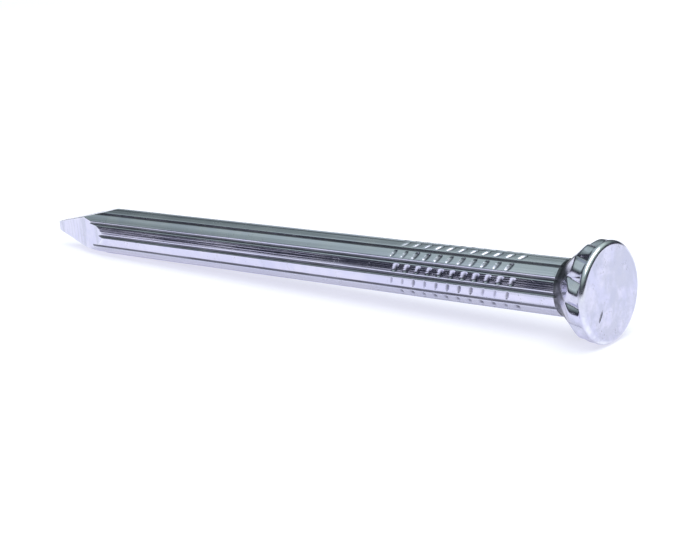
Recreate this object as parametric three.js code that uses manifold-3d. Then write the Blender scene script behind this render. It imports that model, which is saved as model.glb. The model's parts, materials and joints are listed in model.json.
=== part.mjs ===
// A fluted masonry nail, made as the real one is: a single piece of hardened steel wire with
// straight flutes rolled along the shank, rows of short slanting grip marks under the head,
// a pressed button head that is scalloped behind its smooth band, and a four-faced point.
//
// Millimetres, +Z up. The nail lies on a flat surface as it comes to rest, on the shoulder of
// its point and the smooth band of its head. The point looks towards -X and the head to +X.
// The origin is under the middle of the nail's bounding box, on that surface.

import * as THREE from "three";
import { mergeVertices } from "three/addons/utils/BufferGeometryUtils.js";
import Module from "manifold-3d";

// ---- Driving dimensions ----

const nailLength = 50; // from the tip to the struck face
const shankDiameter = 3.5; // across the lands

const fluteCount = 12;
const fluteWidth = 0.26; // mouth of one groove
const fluteDepth = 0.13;

const headDiameter = 6; // across the smooth band, and across the crests of the scallops
const headHeight = 2.6; // from the struck face to where the underside meets the shank
const headRim = 1.05; // upright part of the edge, its rounded corner included
const headBand = 0.5; // smooth part of the rim next to the struck face, with its corner
const headCorner = 0.3; // radius between the rim and the struck face
const scallopDepth = 0.2; // of the dips between the crests behind the smooth band

const pointLength = 7; // from the tip to where the middle of a face meets the shank
const tipWidth = 0.7; // across the blunt end of the point
const pointFaces = 4;

const gripOffset = 3.1; // from the head's underside to the first mark
const gripPitch = 0.88; // from one mark to the next along a land
const gripCount = 11; // marks in a row, with one row on every land
const gripWidth = 0.42; // mouth of one mark
const gripDepth = 0.14;
const gripSlant = THREE.MathUtils.degToRad(20); // how far a mark leans from square to the axis

const cornerSteps = 3; // straight steps that stand for the head's rounded corner
const scallopSteps = 4; // straight steps round one scallop of the head's edge
const weldDistance = 1e-5; // vertices closer than this become one

const zincPlate = new THREE.MeshStandardMaterial({
  color: 0xc8cad6,
  roughness: 0.3,
  metalness: 1,
});

// ---- Values that follow from them ----

const shankRadius = shankDiameter / 2;
const headRadius = headDiameter / 2;
const flutePitch = (2 * Math.PI) / fluteCount;
const halfLand = flutePitch / 2 - Math.asin(fluteWidth / 2 / shankRadius);
const lowest = -Math.PI / 2; // a groove faces straight down, so two lands share the load

const headBack = nailLength - headRim; // where the underside reaches the rim
const bandBack = nailLength - headBand; // where the scallops end and the smooth band starts
const neck = nailLength - headHeight; // where the underside meets the shank
const undersideSlope = (headBack - neck) / (headRadius - shankRadius);
const faceSlope = (shankRadius - tipWidth / 2) / pointLength;

// ---- Solids: three.js geometry in, three.js geometry out ----

const wasm = await Module();
wasm.setup();

function solidFrom(geometry) {
  const bare = geometry.index ? geometry.toNonIndexed() : geometry.clone();
  bare.deleteAttribute("normal");
  bare.deleteAttribute("uv");
  const merged = mergeVertices(bare, weldDistance);
  return new wasm.Manifold(
    new wasm.Mesh({
      numProp: 3,
      vertProperties: new Float32Array(merged.attributes.position.array),
      triVerts: new Uint32Array(merged.index.array),
    }),
  );
}

function geometryFrom(solid) {
  const mesh = solid.getMesh();
  const geometry = new THREE.BufferGeometry();
  geometry.setAttribute("position", new THREE.BufferAttribute(mesh.vertProperties, 3));
  geometry.setIndex(new THREE.BufferAttribute(mesh.triVerts, 1));
  geometry.computeVertexNormals();
  return geometry;
}

function polar(radius, angle) {
  return new THREE.Vector2(radius * Math.cos(angle), radius * Math.sin(angle));
}

// A prism of the outline along +X. The outline's first axis becomes +Y and its second +Z, so
// what is drawn lowest in the outline is lowest on the nail.
function prismAlongX(outline, start, end) {
  const geometry = new THREE.ExtrudeGeometry(new THREE.Shape(outline), {
    depth: end - start,
    bevelEnabled: false,
  });
  geometry.rotateX(Math.PI / 2);
  geometry.rotateZ(Math.PI / 2);
  geometry.translate(start, 0, 0);
  return solidFrom(geometry);
}

// A turned solid about +X from a profile of (radius, distance along the nail).
function turnedAboutX(profile, sides, firstAngle = 0) {
  const geometry = new THREE.LatheGeometry(profile, sides, firstAngle);
  geometry.rotateZ(-Math.PI / 2);
  return solidFrom(geometry);
}

// ---- The nail's own outlines ----

// Three points on each land and one at the bottom of each groove.
function shankOutline() {
  const points = [];
  for (let i = 0; i < fluteCount; i++) {
    const middle = lowest + (i + 0.5) * flutePitch;
    for (const side of [-1, 0, 1]) {
      points.push(polar(shankRadius, middle + side * halfLand));
    }
    points.push(polar(shankRadius - fluteDepth, middle + flutePitch / 2));
  }
  return points;
}

// One rounded crest for each land, because the flutes run on into the back of the head. With
// no depth it is the round outline of the smooth band.
function headOutline(depth) {
  const points = [];
  for (let i = 0; i < fluteCount * scallopSteps; i++) {
    const rise = Math.sin((Math.PI * (i % scallopSteps)) / scallopSteps);
    const radius = headRadius - depth * (1 - rise);
    points.push(polar(radius, lowest + (i * flutePitch) / scallopSteps));
  }
  return points;
}

// ---- The three stretches of the nail ----

// The fluted wire, cut to its point by a pyramid that is blunt at the tip.
function makeShank() {
  const wire = prismAlongX(shankOutline(), 0, headBack);
  const cornerReach = Math.cos(Math.PI / pointFaces); // from a face's distance to a corner's
  const farHalf = tipWidth / 2 + faceSlope * nailLength;
  const pyramid = turnedAboutX(
    [
      new THREE.Vector2(0, 0),
      new THREE.Vector2(tipWidth / 2 / cornerReach, 0),
      new THREE.Vector2(farHalf / cornerReach, nailLength),
      new THREE.Vector2(0, nailLength),
    ],
    pointFaces,
    Math.PI / pointFaces,
  );
  return wire.intersect(pyramid);
}

// A cone-backed button with a rounded front corner, trimmed to its scallops and its smooth
// band. The cone runs on to the axis inside the shank, so the two join all the way round.
function makeHead() {
  const profile = [
    new THREE.Vector2(0, neck - undersideSlope * shankRadius),
    new THREE.Vector2(headRadius, headBack),
  ];
  for (let step = 0; step <= cornerSteps; step++) {
    const turn = (step / cornerSteps) * (Math.PI / 2);
    profile.push(
      new THREE.Vector2(
        headRadius - headCorner * (1 - Math.cos(turn)),
        nailLength - headCorner * (1 - Math.sin(turn)),
      ),
    );
  }
  profile.push(new THREE.Vector2(0, nailLength));
  const button = turnedAboutX(profile, fluteCount * scallopSteps);
  const scalloped = prismAlongX(headOutline(scallopDepth), 0, bandBack);
  const smooth = prismAlongX(headOutline(0), bandBack, nailLength);
  return button.intersect(scalloped.add(smooth));
}

// One V-shaped cutter, lying across the land that faces +Z, with its edge gripDepth below the
// land's surface. It ends in the grooves on both sides, clear of the neighbouring lands. Seen
// from outside with the head to the right, its upper end leans towards the head.
function markCutter() {
  const clearance = 0.25; // how far the cutter stands above the land
  const widening = (gripWidth / 2) * (1 + clearance / gripDepth);
  const section = new THREE.Shape([
    new THREE.Vector2(0, -gripDepth),
    new THREE.Vector2(widening, clearance),
    new THREE.Vector2(-widening, clearance),
  ]);
  const reach = (2 * shankRadius * Math.sin(flutePitch / 2)) / Math.cos(gripSlant);
  const cutter = new THREE.ExtrudeGeometry(section, { depth: reach, bevelEnabled: false });
  cutter.translate(0, 0, -reach / 2);
  cutter.rotateX(Math.PI / 2);
  cutter.rotateZ(-gripSlant);
  return cutter;
}

// Rows of marks on every land, neighbouring rows half a pitch apart.
function cutGripMarks(shank) {
  const cutter = markCutter();
  let marked = shank;
  for (let land = 0; land < fluteCount; land++) {
    const angle = lowest + (land + 0.5) * flutePitch;
    const first = neck - gripOffset - ((land % 2) * gripPitch) / 2;
    for (let mark = 0; mark < gripCount; mark++) {
      const placed = cutter.clone();
      placed.translate(first - mark * gripPitch, 0, shankRadius);
      placed.rotateX(angle - Math.PI / 2);
      marked = marked.subtract(solidFrom(placed));
    }
  }
  return marked;
}

// ---- Putting the nail together and laying it down ----

// How far an outline reaches below the axis.
function reachBelow(outline) {
  return Math.max(...outline.map((point) => -point.y));
}

// The slope of the axis when the point's shoulder and the back of the head's smooth band both
// touch down.
function restSlope() {
  const shoulderReach = reachBelow(shankOutline());
  const shoulder = (shoulderReach - tipWidth / 2) / faceSlope;
  return Math.atan2(headRadius - shoulderReach, bandBack - shoulder);
}

const nail = new THREE.Mesh(geometryFrom(cutGripMarks(makeShank()).add(makeHead())), zincPlate);
nail.name = "nail";

const lying = new THREE.Group();
lying.add(nail);
lying.rotation.y = -restSlope();

const box = new THREE.Box3().setFromObject(lying, true);
const middle = box.getCenter(new THREE.Vector3());
lying.position.set(-middle.x, -middle.y, -box.min.z);

const part = new THREE.Group();
part.add(lying);

export default part;
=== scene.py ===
import json
import math

import bpy
from mathutils import Euler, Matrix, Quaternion, Vector


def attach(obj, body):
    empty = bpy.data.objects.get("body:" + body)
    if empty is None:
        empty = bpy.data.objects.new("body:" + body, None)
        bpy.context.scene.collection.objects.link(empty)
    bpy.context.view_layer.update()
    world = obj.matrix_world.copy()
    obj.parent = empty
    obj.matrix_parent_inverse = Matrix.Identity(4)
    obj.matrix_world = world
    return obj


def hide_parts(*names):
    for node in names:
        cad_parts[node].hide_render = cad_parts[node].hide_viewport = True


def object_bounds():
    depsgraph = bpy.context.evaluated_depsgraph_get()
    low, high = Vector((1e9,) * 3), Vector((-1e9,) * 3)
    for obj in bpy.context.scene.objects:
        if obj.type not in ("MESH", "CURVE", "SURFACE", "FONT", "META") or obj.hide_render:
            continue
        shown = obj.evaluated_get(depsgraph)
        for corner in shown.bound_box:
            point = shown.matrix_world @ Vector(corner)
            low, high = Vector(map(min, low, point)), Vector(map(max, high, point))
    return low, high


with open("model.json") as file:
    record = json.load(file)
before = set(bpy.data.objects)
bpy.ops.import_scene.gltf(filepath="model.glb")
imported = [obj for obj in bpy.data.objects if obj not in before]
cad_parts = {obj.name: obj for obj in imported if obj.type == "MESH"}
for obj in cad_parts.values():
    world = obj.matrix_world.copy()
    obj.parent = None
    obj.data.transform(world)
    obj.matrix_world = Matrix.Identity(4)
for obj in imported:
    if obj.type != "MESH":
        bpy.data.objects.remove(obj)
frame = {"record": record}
cad_box = [list(corner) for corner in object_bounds()]

# A fluted masonry nail of bright zinc-plated steel, lying on a pale floor.
#
# The nail is one grid of rings and columns, wrapped round its axis by Geometry Nodes. The rings
# are stations along the nail, from the middle of the tip to the middle of the struck face, and
# the columns are turns round it. Each stretch of the nail has its own share of the rings.

MM = 0.001

# ---- How the nail lies ----

struck_face = next(m for m in frame["record"]["mounts"] if m["name"] == "head_face")
FACE_CENTRE = tuple(struck_face["pos_m"])
SLOPE = math.atan2(struck_face["axis"][2], struck_face["axis"][0])  # its axis climbs to the head
LAYING_TURN = (0.0, -SLOPE, 0.0)  # from level to how it lies
LEVELLING_TURN = (0.0, SLOPE, 0.0)  # and back

# ---- The nail's sizes, the same as the solid's ----

SIZES = {
    "Length": 50.0 * MM,
    "Shank Radius": 1.75 * MM,
    "Flutes": 12,
    "Flute Width": 0.26 * MM,
    "Flute Depth": 0.13 * MM,
    "Head Radius": 3.0 * MM,
    "Head Height": 2.6 * MM,
    "Head Rim": 1.05 * MM,
    "Head Band": 0.5 * MM,
    "Head Corner": 0.3 * MM,
    "Scallop Depth": 0.2 * MM,
    "Point Length": 7.0 * MM,
    "Tip Width": 0.7 * MM,
    "Grip Offset": 3.1 * MM,
    "Grip Pitch": 0.88 * MM,
    "Grip Count": 11,
    "Grip Width": 0.42 * MM,
    "Grip Depth": 0.14 * MM,
    "Grip Slant": math.radians(20.0),
}

# ---- What the rolling, pressing and cutting leave on it ----

TOOLING = {
    "Land Flatness": 0.65,  # 0 for a land as round as the wire, 1 for a flat one
    "Tip Dome": 0.12 * MM,
    "Gap Deepening": 0.12 * MM,  # how much deeper the dips between beads are than the solid's
    "Bead Variation": 0.07 * MM,  # how much lower one bead of the head may be than another
    "Head Twist": math.radians(-20.0),  # how far the dips turn from the neck to the face
    "Waviness": 0.030 * MM,  # slow unevenness of the rolled wire
    "Die Lines": 0.012 * MM,  # depth of the fine lines that the drawing die leaves
    "Face Dents": 0.030 * MM,
    "Mark Variation": 0.25,  # share of its depth that a grip mark may lack
    "Mark Fullness": 4.0,  # higher for marks that stay deep nearer to their ends
    "Mark Shade": 0.75,  # how much painted shade a mark takes, next to a groove as deep
}

# How close together the slow waves, the die's lines and the dents are. A place round the nail
# is counted in radii, and a place along it or on its face in metres.
WAVE_SCALE = 1.2
WAVES_ALONG = 160.0
DIE_LINES_ALONG = 5.0
DIE_LINES_ROUND = 9.0
DENT_SCALE = 420.0

# ---- How softly its surfaces meet ----

GROOVE_SOFTNESS = 0.02 * MM
GROOVE_EDGE_BLEND = 0.02 * MM
MARK_SOFTNESS = 0.05 * MM
MARK_EDGE_BLEND = 0.03 * MM
POINT_CREASE_BLEND = 0.012 * MM
POINT_CORNER_BLEND = 0.03  # as a share of the radius
NECK_BLEND = 0.12 * MM
BEAD_SHOULDER_BLEND = 0.16 * MM

# ---- Where painted shade falls and handling rubs ----

UNSHADED_RISE = 0.4  # share of the head's rise, from its rim inward, that takes no painted shade
NECK_SHADE = 1.7  # how fast the painted shade darkens from there to the neck
GAP_SHADE = 0.6  # how much painted shade lies deep between two beads
RIDGE_WIDTH = 0.12  # of the rubbed corners of the point, as a share of the radius
CREASE_RINGS = 2.0  # rings on each side of the point's crease over which its rubbing fades

# ---- How finely it is made ----

COLUMNS = 288  # a whole number for each flute and for each corner of the point
RINGS = {
    "tip": 6,
    "point": 24,
    "plain": 24,
    "grip": 186,
    "neck": 8,
    "head": 58,
    "corner": 12,
    "face": 16,
}
POINT_CROWDING = 2.2  # above 1, the point's rings crowd towards its crease
HEAD_LEAD = 0.25 * MM  # how far before the back of the head its rings start
LOWEST = -math.pi / 2  # a groove faces straight down
FULL_TURN = 2 * math.pi
QUARTER = math.pi / 2
SEAM_SLIP = 1e-4  # keeps a column that stands on a seam between lands on one side of it
MARKS_APART = 50.0  # more than the marks of one land, so that each mark has its own number
WELD = 0.1e-6  # points closer than this become one


# ---- Sums made of nodes ----


def join(value, socket):
    """Leads a value into a socket, or sets it there if it is plain."""
    if isinstance(value, Field):
        socket.id_data.links.new(value.socket, socket)
    else:
        socket.default_value = value


def add_node(tree, kind, inputs=None, **settings):
    """Adds a node with its settings, then joins its inputs by their names or numbers."""
    node = tree.nodes.new(kind)
    for name, value in settings.items():
        setattr(node, name, value)
    for name, value in (inputs or {}).items():
        join(value, node.inputs[name])
    return node


class Field:
    """A value that varies over a mesh or a surface. Sums with it add Math nodes to its tree."""

    def __init__(self, socket):
        self.socket = socket
        self.tree = socket.id_data

    def math(self, operation, *others, clamp=False):
        inputs = dict(enumerate((self, *others)))
        node = add_node(self.tree, "ShaderNodeMath", inputs, operation=operation, use_clamp=clamp)
        return Field(node.outputs["Value"])

    def __add__(self, other):
        return self.math("ADD", other)

    def __sub__(self, other):
        return self.math("SUBTRACT", other)

    def __mul__(self, other):
        return self.math("MULTIPLY", other)

    def __truediv__(self, other):
        return self.math("DIVIDE", other)

    def __abs__(self):
        return self.math("ABSOLUTE")

    __radd__ = __add__
    __rmul__ = __mul__

    def __rsub__(self, other):
        return (self * -1.0) + other

    def __rtruediv__(self, other):
        return self.math("POWER", -1.0) * other

    def sin(self):
        return self.math("SINE")

    def cos(self):
        return self.math("COSINE")

    def squared(self):
        return self * self

    def root(self):
        return self.math("SQRT")

    def less(self, other, blend):
        """The smaller of the two, run together over the blend."""
        return self.math("SMOOTH_MIN", other, blend)

    def more(self, other, blend):
        """The larger of the two, run together over the blend."""
        return self.math("SMOOTH_MAX", other, blend)

    def clamped(self):
        return self.math("ADD", 0.0, clamp=True)


def vector(x, y, z):
    """Three numbers as one vector."""
    tree = next(part.tree for part in (x, y, z) if isinstance(part, Field))
    return Field(add_node(tree, "ShaderNodeCombineXYZ", {"X": x, "Y": y, "Z": z}).outputs["Vector"])


def random_share(whole_number, seed):
    """A random number from 0 to 1 for each whole number."""
    inputs = {"ID": whole_number, "Seed": seed}
    node = add_node(whole_number.tree, "FunctionNodeRandomValue", inputs, data_type="FLOAT")
    return Field(node.outputs["Value"])


def v_cut(distance, bottom, depth, width, softness):
    """The wall of a V-shaped cut with a softened bottom, at a distance from its middle."""
    run = (distance.squared() + softness * softness).root() - softness
    return bottom + run * depth / (width * 0.5)


# ---- Where the rings and columns stand ----


def first_ring(stretch):
    """The number of the ring that a stretch starts at."""
    names = list(RINGS)
    return float(sum(RINGS[name] for name in names[: names.index(stretch)]))


def ramp(ring, stretch):
    """0 before a stretch of rings, 1 after it, and rising evenly along it."""
    return ((ring - first_ring(stretch)) / float(RINGS[stretch])).clamped()


def eased(share):
    """0 to 1 with a soft start and end."""
    held = share.clamped()
    return held.squared() * (3.0 - 2.0 * held)


class Turn:
    """Where a column stands round the nail, measured from the middle of its own land."""

    def __init__(self, column, size):
        self.past_lowest = column * (FULL_TURN / COLUMNS)
        self.angle = self.past_lowest + LOWEST
        self.pitch = FULL_TURN / size["Flutes"]
        self.land = (self.past_lowest / self.pitch + SEAM_SLIP).math("FLOOR")
        self.off_middle = self.past_lowest - (self.land + 0.5) * self.pitch
        self.across = self.off_middle * size["Shank Radius"]
        self.to_groove = self.pitch * 0.5 * size["Shank Radius"] - abs(self.across)
        self.square = abs(self.angle.cos()).more(abs(self.angle.sin()), POINT_CORNER_BLEND)

    def dip(self, twist):
        """1 in the middle of each groove and 0 on each land's middle, turned by the twist."""
        return 1.0 - abs(((self.past_lowest + twist) / self.pitch * math.pi).sin())

    def ridge(self):
        """1 on the four corners of the point, falling to 0 a little to each side."""
        uneven = abs(abs(self.angle.cos()) - abs(self.angle.sin()))
        return (1.0 - uneven / RIDGE_WIDTH).clamped()


def nail_stations(ring, crease, size):
    """How far each ring is from the tip, along the nail."""
    neck = size["Length"] - size["Head Height"]
    head_start = neck - HEAD_LEAD
    band_end = neck - size["Grip Offset"] + size["Grip Width"]
    band_start = band_end - size["Grip Pitch"] * (size["Grip Count"] + 1.0)
    corner_start = size["Length"] - size["Head Corner"]
    point = 1.0 - (1.0 - ramp(ring, "point")).math("POWER", POINT_CROWDING)
    plain = eased(ramp(ring, "plain"))
    return (
        size["Tip Dome"] * (1.0 - (ramp(ring, "tip") * QUARTER).cos())
        + (crease - size["Tip Dome"]) * point
        + (band_start - crease) * plain
        + (band_end - band_start) * ramp(ring, "grip")
        + (head_start - band_end) * ramp(ring, "neck")
        + (corner_start - head_start) * ramp(ring, "head")
        + size["Head Corner"] * (ramp(ring, "corner") * QUARTER).sin()
    )


# ---- How far out the nail's surfaces lie ----


def land_radius(turn, size):
    """The lands of the rolled wire, part of the way from round to flat."""
    half_mouth = size["Flute Width"] * 0.5 / size["Shank Radius"]
    flat = (turn.pitch * 0.5 - half_mouth).cos() / turn.off_middle.cos()
    return size["Shank Radius"] * (1.0 - (1.0 - flat) * size["Land Flatness"])


def groove_radius(turn, size):
    """The V-shaped grooves between the lands."""
    depth = size["Flute Depth"]
    bottom = size["Shank Radius"] - depth
    return v_cut(turn.to_groove, bottom, depth, size["Flute Width"], GROOVE_SOFTNESS)


def mark_radius(station, turn, size):
    """The slanting grip marks: how far out the nearest mark on this land lets the metal reach.
    Neighbouring rows are half a pitch apart."""
    neck = size["Length"] - size["Head Height"]
    odd_row = turn.land.math("MODULO", 2.0)
    first = neck - size["Grip Offset"] - odd_row * size["Grip Pitch"] * 0.5
    leaning = station + size["Grip Slant"].math("TANGENT") * turn.across
    place = (first - leaning) / size["Grip Pitch"]
    mark = place.math("ROUND").math("MAXIMUM", 0.0).math("MINIMUM", size["Grip Count"] - 1.0)
    from_mark = (place - mark) * size["Grip Pitch"]
    lacking = random_share(turn.land * MARKS_APART + mark, seed=3) * size["Mark Variation"]
    half_land = turn.pitch * 0.5 * size["Shank Radius"] - size["Flute Width"] * 0.5
    ends = (1.0 - (abs(turn.across) / half_land).math("POWER", size["Mark Fullness"])).clamped()
    depth = size["Grip Depth"] * (1.0 - lacking) * ends
    bottom = (size["Shank Radius"] - depth) / turn.off_middle.cos()
    return v_cut(from_mark, bottom, size["Grip Depth"], size["Grip Width"], MARK_SOFTNESS)


def pyramid_radius(station, turn, half_tip, face_slope):
    """The four flat faces of the point."""
    return (half_tip + face_slope * station) / turn.square


def bead_gap(station, turn, size):
    """How deep a place lies between two beads, and how much of the beading is left there, both
    from 0 to 1."""
    neck = size["Length"] - size["Head Height"]
    share = ((station - neck) / size["Head Height"]).clamped()
    before_corner = size["Length"] - size["Head Corner"] - station
    beaded = eased(before_corner / (size["Head Band"] - size["Head Corner"]))
    return turn.dip(size["Head Twist"] * (share - 0.5)) * beaded, beaded


def head_radius(station, ring, turn, size):
    """The button: a cone at the back, a row of beads, a smooth band and a rounded corner. Also
    how deep each place lies between two beads, from 0 to 1."""
    neck = size["Length"] - size["Head Height"]
    back = size["Length"] - size["Head Rim"]
    rise = (size["Head Radius"] - size["Shank Radius"]) / (back - neck)
    cone = size["Shank Radius"] + (station - neck) * rise
    rounding = size["Head Corner"] * (1.0 - (ramp(ring, "corner") * QUARTER).cos())
    gap, beaded = bead_gap(station, turn, size)
    lower_beads = random_share(turn.land.math("MODULO", size["Flutes"]), seed=9) * beaded
    depth = gap * (size["Scallop Depth"] + size["Gap Deepening"])
    rim = size["Head Radius"] - depth - lower_beads * size["Bead Variation"]
    return cone.less(rim, BEAD_SHOULDER_BLEND) - rounding, gap


# ---- The unevenness of real metal, which only goes inward ----


def lowered(place, scale, seed):
    """Soft noise from about -1 to 0."""
    inputs = {"Vector": place, "W": float(seed), "Scale": scale, "Detail": 1.0}
    node = add_node(place.tree, "ShaderNodeTexNoise", inputs, noise_dimensions="4D")
    return Field(node.outputs["Fac"]) - 1.0


def waviness(station, turn, size):
    """Slow waves along the rolled wire and round it."""
    place = vector(station * WAVES_ALONG, turn.angle.cos(), turn.angle.sin())
    return lowered(place, WAVE_SCALE, seed=5) * size["Waviness"]


def die_lines(station, ring, turn, size):
    """Fine lines along the drawn wire, as far as the head."""
    y = turn.angle.cos() * DIE_LINES_ROUND
    z = turn.angle.sin() * DIE_LINES_ROUND
    drawn = lowered(vector(station * DIE_LINES_ALONG, y, z), 1.0, seed=6)
    return drawn * size["Die Lines"] * (1.0 - ramp(ring, "head"))


def face_dents(y, z, ring, size):
    """Shallow dents in the struck face."""
    dent = lowered(vector(0.0, y, z), DENT_SCALE, seed=8) * size["Face Dents"]
    return dent * ramp(ring, "corner")


# ---- Where the metal is hollow or exposed, from 0 to 1 ----


def hollow_wire(land, fluted, marked, size):
    """How much painted shade the grooves and the grip marks take."""
    # A mark takes less painted shade than a groove as deep.
    in_marks = (fluted - marked) * size["Mark Shade"]
    return ((land - fluted + in_marks) / size["Flute Depth"]).clamped()


def hollow_head(radius, ring, gap, size):
    """The painted shade of the neck and of the gaps between the beads, as far as the head's corner.
    """
    below_rim = (size["Head Radius"] - radius) / (size["Head Radius"] - size["Shank Radius"])
    held = ((below_rim - UNSHADED_RISE) * NECK_SHADE + gap * GAP_SHADE).clamped()
    return held * (1.0 - ramp(ring, "corner"))


def exposed_edges(ring, turn, on_point):
    """The rounded corner of the head, the four corners of the point and its crease."""
    corner = ramp(ring, "corner")
    rounded = corner * (1.0 - corner) * 4.0  # 1 half way round it
    near_crease = (1.0 - abs(ring - first_ring("plain")) / CREASE_RINGS).clamped()
    return (rounded + turn.ridge() * on_point + near_crease).clamped()


# ---- The nail ----


def open_nail_tree():
    """An empty Geometry Nodes tree, and its named inputs as fields."""
    tree = bpy.data.node_groups.new("Fluted nail", "GeometryNodeTree")
    tree.interface.new_socket("Nail", in_out="OUTPUT", socket_type="NodeSocketGeometry")
    for name in (*SIZES, *TOOLING):
        tree.interface.new_socket(name, in_out="INPUT", socket_type="NodeSocketFloat")
    for name in ("Face Centre", "Laying Turn"):
        tree.interface.new_socket(name, in_out="INPUT", socket_type="NodeSocketVector")
    given = add_node(tree, "NodeGroupInput")
    return tree, {socket.name: Field(socket) for socket in given.outputs if socket.name}


def make_grid(tree):
    """A flat grid with its points one unit apart, and the ring and the column of each point."""
    ring_count = sum(RINGS.values())
    inputs = {
        "Size X": float(ring_count),
        "Size Y": float(COLUMNS),
        "Vertices X": ring_count + 1,
        "Vertices Y": COLUMNS + 1,
    }
    grid = add_node(tree, "GeometryNodeMeshGrid", inputs)
    position = Field(add_node(tree, "GeometryNodeInputPosition").outputs["Position"])
    place = add_node(tree, "ShaderNodeSeparateXYZ", {"Vector": position})
    ring = Field(place.outputs["X"]) + ring_count / 2
    column = Field(place.outputs["Y"]) + COLUMNS / 2
    return Field(grid.outputs["Mesh"]), ring, column


def shape_nail(ring, turn, size):
    """Where each point of the grid goes, and what its metal is like there: how hollow, how
    exposed, and on which stretch of the nail, 0 for the point, 1 for the shank, 2 for the head."""
    land = land_radius(turn, size)
    fluted = land.less(groove_radius(turn, size), GROOVE_EDGE_BLEND)
    half_tip = size["Tip Width"] * 0.5
    face_slope = (size["Shank Radius"] - half_tip) / size["Point Length"]
    crease = (fluted * turn.square - half_tip) / face_slope
    station = nail_stations(ring, crease, size)
    marked = fluted.less(mark_radius(station, turn, size), MARK_EDGE_BLEND)
    wire = marked.less(pyramid_radius(station, turn, half_tip, face_slope), POINT_CREASE_BLEND)
    head, gap = head_radius(station, ring, turn, size)
    radius = wire.more(head, NECK_BLEND)

    uneven = radius + waviness(station, turn, size) + die_lines(station, ring, turn, size)
    closing = (1.0 - ramp(ring, "face")) * (ramp(ring, "tip") * QUARTER).sin()
    reach = uneven * closing
    y = reach * turn.angle.cos()
    z = reach * turn.angle.sin()
    x = station - size["Length"] + face_dents(y, z, ring, size)

    # How deep in a groove, mark, neck or bead gap each place lies, which sets its painted shade.
    past_point = ring.math("GREATER_THAN", first_ring("plain"))
    past_wire = ring.math("GREATER_THAN", first_ring("head"))
    in_wire = hollow_wire(land, fluted, marked, size) * past_point
    in_head = hollow_head(radius, ring, gap, size)
    hollow = in_wire + (in_head - in_wire) * past_wire
    edge = exposed_edges(ring, turn, 1.0 - past_point)
    return vector(x, y, z), hollow, edge, past_point + past_wire


def keep(mesh, name, value, kind="FLOAT", domain="POINT"):
    """Stores a value on the mesh under a name."""
    inputs = {"Geometry": mesh, "Name": name, "Value": value}
    node = add_node(
        mesh.tree, "GeometryNodeStoreNamedAttribute", inputs, data_type=kind, domain=domain
    )
    return Field(node.outputs["Geometry"])


def wrap(mesh, place):
    """Moves the grid's points to their places, closes the seam and the two poles, and turns the
    faces outward."""
    wrapped = add_node(mesh.tree, "GeometryNodeSetPosition", {"Geometry": mesh, "Position": place})
    inputs = {"Geometry": Field(wrapped.outputs["Geometry"]), "Distance": WELD}
    welded = add_node(mesh.tree, "GeometryNodeMergeByDistance", inputs)
    inputs = {"Mesh": Field(welded.outputs["Geometry"])}
    return Field(add_node(mesh.tree, "GeometryNodeFlipFaces", inputs).outputs["Mesh"])


def lay(mesh, size):
    """Lays the nail down with its struck face in its place, smoothly shaded."""
    inputs = {
        "Geometry": mesh,
        "Translation": size["Face Centre"],
        "Rotation": size["Laying Turn"],
    }
    laid = add_node(mesh.tree, "GeometryNodeTransform", inputs)
    inputs = {"Geometry": Field(laid.outputs["Geometry"])}
    return Field(add_node(mesh.tree, "GeometryNodeSetShadeSmooth", inputs).outputs["Geometry"])


def coat(mesh, finishes):
    """Gives each stretch of the nail its finish."""
    tree = mesh.tree
    last = add_node(tree, "GeometryNodeRealizeInstances", {"Geometry": mesh})
    for number, finish in enumerate(finishes):
        stretch = add_node(
            tree, "GeometryNodeInputNamedAttribute", {"Name": "stretch"}, data_type="INT"
        )
        inputs = {
            "Geometry": Field(last.outputs["Geometry"]),
            "Selection": Field(stretch.outputs["Attribute"]).math("COMPARE", float(number), 0.5),
            "Material": finish,
        }
        last = add_node(tree, "GeometryNodeSetMaterial", inputs)
    return Field(last.outputs["Geometry"])


def make_nail_tree(finishes):
    """The Geometry Nodes tree that makes the nail from its named sizes."""
    tree, size = open_nail_tree()
    mesh, ring, column = make_grid(tree)
    place, hollow, edge, stretch = shape_nail(ring, Turn(column, size), size)
    mesh = keep(mesh, "hollow", hollow)
    mesh = keep(mesh, "edge", edge)
    mesh = keep(mesh, "stretch", stretch, "INT", "FACE")
    add_node(tree, "NodeGroupOutput", {"Nail": coat(lay(wrap(mesh, place), size), finishes)})
    return tree


def make_nail(finishes):
    """The nail as a plain mesh, laid where its struck face is in the frame."""
    given = {
        **{name: float(value) for name, value in {**SIZES, **TOOLING}.items()},
        "Face Centre": FACE_CENTRE,
        "Laying Turn": LAYING_TURN,
    }
    tree = make_nail_tree(finishes)
    blank = bpy.data.objects.new("nail_blank", bpy.data.meshes.new("nail_blank"))
    bpy.context.scene.collection.objects.link(blank)
    modifier = blank.modifiers.new("Fluted nail", "NODES")
    modifier.node_group = tree
    for socket in tree.interface.items_tree:
        if socket.in_out == "INPUT":
            modifier[socket.identifier] = given[socket.name]
    shaped = blank.evaluated_get(bpy.context.evaluated_depsgraph_get())
    mesh = bpy.data.meshes.new_from_object(shaped)
    bpy.data.objects.remove(blank)
    mesh.name = "plated_nail"
    nail = bpy.data.objects.new("plated_nail", mesh)
    bpy.context.scene.collection.objects.link(nail)
    return nail


# ---- Patterns for the finishes ----


def noise(place, scale, detail=2.0, roughness=0.5):
    """Cloudy noise from 0 to 1 on a place."""
    inputs = {"Vector": place, "Scale": scale, "Detail": detail, "Roughness": roughness}
    return Field(add_node(place.tree, "ShaderNodeTexNoise", inputs).outputs["Fac"])


def stretched(place, scale):
    """A place with its own scale each way: a low one draws a pattern out that way."""
    inputs = {"Vector": place, "Scale": scale}
    node = add_node(place.tree, "ShaderNodeMapping", inputs, vector_type="POINT")
    return Field(node.outputs["Vector"])


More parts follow.
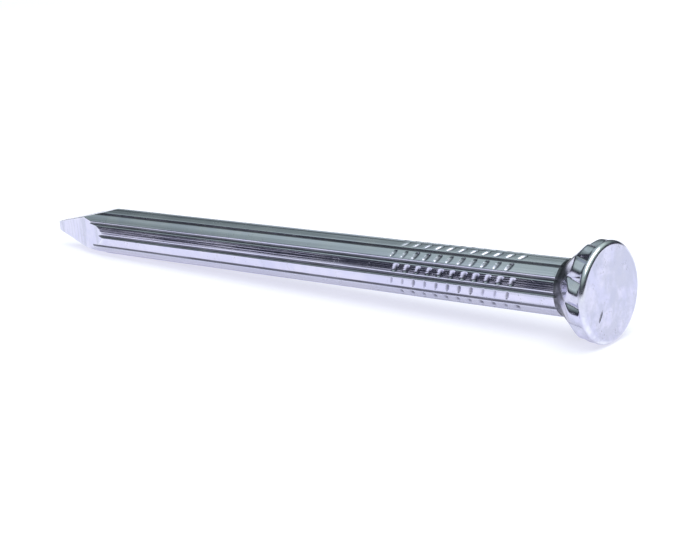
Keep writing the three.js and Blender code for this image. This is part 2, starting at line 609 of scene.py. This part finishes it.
def between(value, low, high):
    """0 below the low limit, 1 above the high one, and smooth in between."""
    inputs = {"Value": value, "From Min": low, "From Max": high}
    node = add_node(value.tree, "ShaderNodeMapRange", inputs, interpolation_type="SMOOTHSTEP")
    return Field(node.outputs["Result"])


def blended(share, first, second):
    """A colour between two others."""
    inputs = {"Factor": share, "A": first, "B": second}
    return Field(add_node(share.tree, "ShaderNodeMix", inputs, data_type="RGBA").outputs["Result"])


# ---- Effects that the finishes share ----


def effect(name, inputs, outputs):
    """An empty shader group with named sockets: its given values and where its results go."""
    group = bpy.data.node_groups.new(name, "ShaderNodeTree")
    for socket, kind in inputs.items():
        group.interface.new_socket(socket, in_out="INPUT", socket_type=f"NodeSocket{kind}")
    for socket, kind in outputs.items():
        group.interface.new_socket(socket, in_out="OUTPUT", socket_type=f"NodeSocket{kind}")
    given = add_node(group, "NodeGroupInput")
    result = add_node(group, "NodeGroupOutput")
    return group, {name: Field(given.outputs[name]) for name in inputs}, result.inputs


def make_rolling_lines():
    """Fine lines that run along the nail, as the rollers and the drawing die leave them."""
    group, given, result = effect(
        "Rolling lines",
        {"Place": "Vector", "Lines": "Float", "Shortness": "Float"},
        {"Height": "Float", "Streaks": "Float"},
    )
    scale = vector(given["Shortness"], given["Lines"], given["Lines"])
    place = stretched(given["Place"], scale)
    fine = noise(place, scale=1.0, detail=3.0, roughness=0.6)
    broad = noise(place, scale=0.3)
    fine_share = 0.65
    join(fine * fine_share + broad * (1.0 - fine_share), result["Height"])
    join(between(fine * 0.5 + broad * 0.5, low=0.45, high=0.58), result["Streaks"])
    return group


def make_zinc_bloom():
    """Soft clouds of cooler and warmer zinc."""
    group, given, result = effect(
        "Zinc bloom",
        {"Place": "Vector", "Scale": "Float", "Cool": "Color", "Warm": "Color"},
        {"Colour": "Color", "Clouds": "Float"},
    )
    cloudy = noise(given["Place"], given["Scale"], detail=3.0, roughness=0.6)
    clouds = between(cloudy, low=0.36, high=0.64)
    join(blended(clouds, given["Cool"], given["Warm"]), result["Colour"])
    join(clouds, result["Clouds"])
    return group


def make_fine_pits():
    """Small scattered pits and grains in the plating, gathered in patches."""
    group, given, result = effect(
        "Fine pits",
        {"Place": "Vector", "Scale": "Float", "Cover": "Float"},
        {"Height": "Float", "Pits": "Float"},
    )
    inputs = {"Vector": given["Place"], "Scale": given["Scale"]}
    cells = add_node(group, "ShaderNodeTexVoronoi", inputs)
    grains = 1.0 - between(Field(cells.outputs["Distance"]), low=0.08, high=0.42)
    patch_scale = given["Scale"] * 0.22
    patches = noise(given["Place"], patch_scale, detail=1.0)
    widening = given["Cover"] * 0.2
    pits = grains * between(patches, low=0.62 - widening, high=0.70 - widening)
    join(pits, result["Pits"])
    join(1.0 - pits, result["Height"])
    return group


def make_groove_shade():
    """Painted shade that darkens the grooves, marks and the gaps between beads, in broken patches.
    """
    group, given, result = effect(
        "Painted groove shade",
        {"Place": "Vector", "Hollow": "Float", "Amount": "Float"},
        {"Painted Shade": "Float"},
    )
    smeared = stretched(given["Place"], scale=(500.0, 2400.0, 2400.0))
    thinnest = 0.55
    variation = 0.6
    broken = noise(smeared, scale=1.0) * variation + thinnest
    deep = between(given["Hollow"], low=0.15, high=0.7)
    join((deep * broken * given["Amount"]).clamped(), result["Painted Shade"])
    return group


def make_edge_wear():
    """Where handling has rubbed the corners smoother and brighter."""
    group, given, result = effect(
        "Edge wear",
        {"Place": "Vector", "Edge": "Float", "Amount": "Float"},
        {"Wear": "Float"},
    )
    patches = between(noise(given["Place"], scale=1500.0), low=0.35, high=0.65)
    least = 0.3
    rubbed = patches * (1.0 - least) + least
    join((given["Edge"] * rubbed * given["Amount"]).clamped(), result["Wear"])
    return group


EFFECTS = {
    "lines": make_rolling_lines(),
    "bloom": make_zinc_bloom(),
    "pits": make_fine_pits(),
    "painted_shade": make_groove_shade(),
    "wear": make_edge_wear(),
}

# ---- Finishes ----

COOL_ZINC = (0.60, 0.595, 0.76, 1.0)
WARM_ZINC = (0.67, 0.655, 0.79, 1.0)
WORN_ZINC = (0.86, 0.87, 0.92, 1.0)
STREAKED_ZINC = (0.46, 0.475, 0.56, 1.0)
PITTED_ZINC = (0.40, 0.41, 0.46, 1.0)
# The near black of the painted shade in the hollows and in the nick.
PAINTED_SHADE = (0.05, 0.052, 0.065, 1.0)

PIT_SCALE = 5200.0
EDGE_RUBBING = 0.8

# How strongly each effect shows in the colour, in the relief and in the roughness
# The nick's tint is the painted shade inside it.
TINT = {"streaks": 0.5, "pits": 0.5, "nick": 0.7}
RELIEF = {"pits": 0.5, "clouds": 0.3, "nick": 12.0}
RELIEF_UNIT = 0.004 * MM  # how far a height of 1 stands out
ROUGHENING = {"streaks": 0.08, "clouds": 0.05, "painted_shade": 0.25, "pits": 0.15, "wear": -0.06}

NICK_PLACE = Vector((0.0, -1.25, -1.05)) * MM  # from the middle of the struck face
NICK_LEAN = math.radians(55)
NICK_HALF_SIZE = (0.5 * MM, 0.45 * MM, 0.11 * MM)


class Finish:
    """A material under construction."""

    def __init__(self, name):
        self.material = bpy.data.materials.new(name)
        self.material.use_nodes = True
        self.tree = self.material.node_tree
        self.shader = self.tree.nodes["Principled BSDF"]

    def place(self):
        """Object coordinates, turned level so that x runs along the nail."""
        coordinates = Field(add_node(self.tree, "ShaderNodeTexCoord").outputs["Object"])
        inputs = {"Vector": coordinates, "Rotation": LEVELLING_TURN}
        return Field(add_node(self.tree, "ShaderNodeMapping", inputs).outputs["Vector"])

    def read(self, name):
        """A value that the mesh keeps under a name."""
        return Field(add_node(self.tree, "ShaderNodeAttribute", attribute_name=name).outputs["Fac"])

    def add(self, effect_name, **values):
        """Places one shared effect and returns its results by name."""
        node = add_node(self.tree, "ShaderNodeGroup", values, node_tree=EFFECTS[effect_name])
        return {socket.name: Field(socket) for socket in node.outputs}

    def raise_surface(self, height):
        """Gives the shader the fine relief of a height that varies over the surface."""
        bump = add_node(self.tree, "ShaderNodeBump", {"Height": height, "Distance": RELIEF_UNIT})
        join(Field(bump.outputs["Normal"]), self.shader.inputs["Normal"])


def nick_mask(place, middle, lean, half_size):
    """1 on one short straight nick and 0 away from it."""
    inputs = {
        "Vector": place,
        "Location": middle,
        "Rotation": (lean, 0.0, 0.0),
        "Scale": half_size,
    }
    fitted = add_node(place.tree, "ShaderNodeMapping", inputs, vector_type="TEXTURE")
    inputs = {"Vector": Field(fitted.outputs["Vector"])}
    length = add_node(place.tree, "ShaderNodeVectorMath", inputs, operation="LENGTH")
    return 1.0 - between(Field(length.outputs["Value"]), low=0.4, high=1.0)


def plated(name, lines, bloom_scale, pit_cover, dullness, shade_amount, nick=None):
    """Bright zinc over steel, with its own share of each effect."""
    finish = Finish(name)
    place = finish.place()
    line = finish.add("lines", Place=place, Lines=lines["across"], Shortness=lines["along"])
    bloom = finish.add("bloom", Place=place, Scale=bloom_scale, Cool=COOL_ZINC, Warm=WARM_ZINC)
    pit = finish.add("pits", Place=place, Scale=PIT_SCALE, Cover=pit_cover)
    hollow = finish.read("hollow")
    edge = finish.read("edge")
    # Painted shade in the grooves, the grip marks, the neck and between the beads.
    painted_shade = finish.add("painted_shade", Place=place, Hollow=hollow, Amount=shade_amount)["Painted Shade"]
    wear = finish.add("wear", Place=place, Edge=edge, Amount=EDGE_RUBBING)["Wear"]

    colour = blended(line["Streaks"] * TINT["streaks"], bloom["Colour"], STREAKED_ZINC)
    colour = blended(pit["Pits"] * TINT["pits"], colour, PITTED_ZINC)
    # Painted shade darkens the hollows towards near black.
    colour = blended(painted_shade, blended(wear, colour, WORN_ZINC), PAINTED_SHADE)
    height = line["Height"] * lines["depth"] + pit["Height"] * RELIEF["pits"]
    height = height + bloom["Clouds"] * RELIEF["clouds"]
    if nick:
        cut = nick_mask(place, **nick)
        # Painted shade in the nick: it is darkened towards near black.
        colour = blended(cut * TINT["nick"], colour, PAINTED_SHADE)
        height = height - cut * RELIEF["nick"]
    roughness = (
        dullness
        + line["Streaks"] * ROUGHENING["streaks"]
        + bloom["Clouds"] * ROUGHENING["clouds"]
        + painted_shade * ROUGHENING["painted_shade"]
        + pit["Pits"] * ROUGHENING["pits"]
        + wear * ROUGHENING["wear"]
    )

    finish.shader.inputs["Metallic"].default_value = 1.0
    join(colour, finish.shader.inputs["Base Color"])
    join(roughness.clamped(), finish.shader.inputs["Roughness"])
    finish.raise_surface(height)
    return finish.material


def rolled_shank_zinc():
    return plated(
        "zinc on the rolled shank",
        lines={"along": 40.0, "across": 4600.0, "depth": 8.0},
        bloom_scale=420.0,
        pit_cover=0.35,
        dullness=0.13,
        shade_amount=0.85,
    )


def cut_point_zinc():
    return plated(
        "zinc on the cut point",
        lines={"along": 3600.0, "across": 500.0, "depth": 0.4},
        bloom_scale=700.0,
        pit_cover=0.1,
        dullness=0.11,
        shade_amount=0.0,
    )


def pressed_head_zinc():
    face = Euler(LEVELLING_TURN).to_matrix() @ Vector(FACE_CENTRE)
    return plated(
        "zinc on the pressed head",
        lines={"along": 1500.0, "across": 1100.0, "depth": 1.6},
        bloom_scale=900.0,
        pit_cover=0.35,
        dullness=0.14,
        shade_amount=1.0,
        nick={
            "middle": tuple(face + NICK_PLACE),
            "lean": NICK_LEAN,
            "half_size": NICK_HALF_SIZE,
        },
    )


# ---- The studio ----

CAMERA_AZIMUTH = math.radians(44.6)
CAMERA_ELEVATION = math.radians(13.9)
CAMERA_ROLL = math.radians(-3.8)
CAMERA_DISTANCE = 98.3 * MM
CAMERA_AIM = Vector((4.6, 0.6, -1.8)) * MM  # from the middle of the solid's box

FLOOR_REACH = 3.0
PAPER = (0.45, 0.45, 0.48, 1.0)
PAPER_GLOW = (0.90, 0.90, 1.0, 1.0)

# What the plating mirrors above the floor, from the horizon at 0 to straight up at 1: the far
# end of the floor, a dim band at eye level, and a pale ceiling that is brightest part of the way
# up.
MIRRORED = [
    (0.03, (0.95, 0.95, 1.08)),
    (0.08, (0.03, 0.033, 0.045)),
    (0.32, (0.035, 0.04, 0.05)),
    (0.48, (0.20, 0.25, 0.23)),
    (0.56, (0.34, 0.42, 0.38)),
    (0.63, (0.40, 0.49, 0.45)),
    (0.72, (0.64, 0.78, 0.71)),
    (0.94, (0.52, 0.63, 0.57)),
]
BACKDROP = (1.0, 1.0, 1.02, 1.0)  # what the camera itself sees there


def make_camera():
    """Stands beyond the head and to one side, looking a little down along the nail."""
    lens = bpy.data.cameras.new("camera")
    lens.lens = 75.0
    lens.sensor_width = 36.0
    lens.clip_start = 0.001
    camera = bpy.data.objects.new("camera", lens)
    bpy.context.scene.collection.objects.link(camera)
    middle = (Vector(cad_box[0]) + Vector(cad_box[1])) / 2
    away = Vector((
        math.sin(CAMERA_AZIMUTH) * math.cos(CAMERA_ELEVATION),
        -math.cos(CAMERA_AZIMUTH) * math.cos(CAMERA_ELEVATION),
        math.sin(CAMERA_ELEVATION),
    ))
    camera.location = middle + away * CAMERA_DISTANCE
    aim = middle + CAMERA_AIM
    level = (aim - camera.location).to_track_quat("-Z", "Y")
    camera.rotation_euler = (level @ Quaternion((0.0, 0.0, 1.0), CAMERA_ROLL)).to_euler()
    bpy.context.scene.camera = camera


def make_floor():
    """A plain pale floor that reaches the horizon."""
    sides = ((-1, -1), (1, -1), (1, 1), (-1, 1))
    corners = [(FLOOR_REACH * x, FLOOR_REACH * y, 0) for x, y in sides]
    mesh = bpy.data.meshes.new("floor")
    mesh.from_pydata(corners, [], [(0, 1, 2, 3)])
    floor = bpy.data.objects.new("floor", mesh)
    bpy.context.scene.collection.objects.link(floor)
    paper = bpy.data.materials.new("white paper")
    paper.use_nodes = True
    shader = paper.node_tree.nodes["Principled BSDF"]
    shader.inputs["Base Color"].default_value = PAPER
    shader.inputs["Roughness"].default_value = 0.9
    shader.inputs["Specular IOR Level"].default_value = 0.0
    shader.inputs["Emission Color"].default_value = PAPER_GLOW
    shader.inputs["Emission Strength"].default_value = 0.68
    mesh.materials.append(paper)


def make_world():
    """The bands that the plating mirrors, behind the plain backdrop that the camera sees."""
    world = bpy.data.worlds.new("studio")
    bpy.context.scene.world = world
    world.use_nodes = True
    tree = world.node_tree
    direction = Field(add_node(tree, "ShaderNodeTexCoord").outputs["Generated"])
    split = add_node(tree, "ShaderNodeSeparateXYZ", {"Vector": direction})
    bands = add_node(tree, "ShaderNodeValToRGB", {"Fac": Field(split.outputs["Z"])})
    points = bands.color_ramp.elements
    while len(points) < len(MIRRORED):
        points.new(0.5)
    for point, (height, colour) in zip(points, MIRRORED):
        point.position = height
        point.color = (*colour, 1.0)
    to_camera = Field(add_node(tree, "ShaderNodeLightPath").outputs["Is Camera Ray"])
    seen = blended(to_camera, Field(bands.outputs["Color"]), BACKDROP)
    join(seen, tree.nodes["Background"].inputs["Color"])


def make_soft_light():
    """A wide soft light that the plating doesn't mirror."""
    light = bpy.data.lights.new("soft light", "SUN")
    light.energy = 0.95
    light.angle = math.radians(80)
    lamp = bpy.data.objects.new("soft light", light)
    lamp.rotation_euler = (math.radians(15), math.radians(-10), 0)
    lamp.visible_glossy = False
    bpy.context.scene.collection.objects.link(lamp)


def make_strip_light():
    """A bright strip above the nail that the plating does mirror."""
    light = bpy.data.lights.new("strip light", "AREA")
    light.shape = "RECTANGLE"
    light.size = 0.26
    light.size_y = 0.50
    light.energy = 1.00
    lamp = bpy.data.objects.new("strip light", light)
    lamp.location = (0.14, -0.03, 0.40)
    lamp.rotation_euler = (0.0, math.radians(15), 0.0)
    bpy.context.scene.collection.objects.link(lamp)


make_camera()
make_floor()
make_world()
make_soft_light()
make_strip_light()
nail = make_nail([cut_point_zinc(), rolled_shank_zinc(), pressed_head_zinc()])
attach(nail, "root")
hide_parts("nail")

bpy.context.scene.view_settings.view_transform = "Standard"
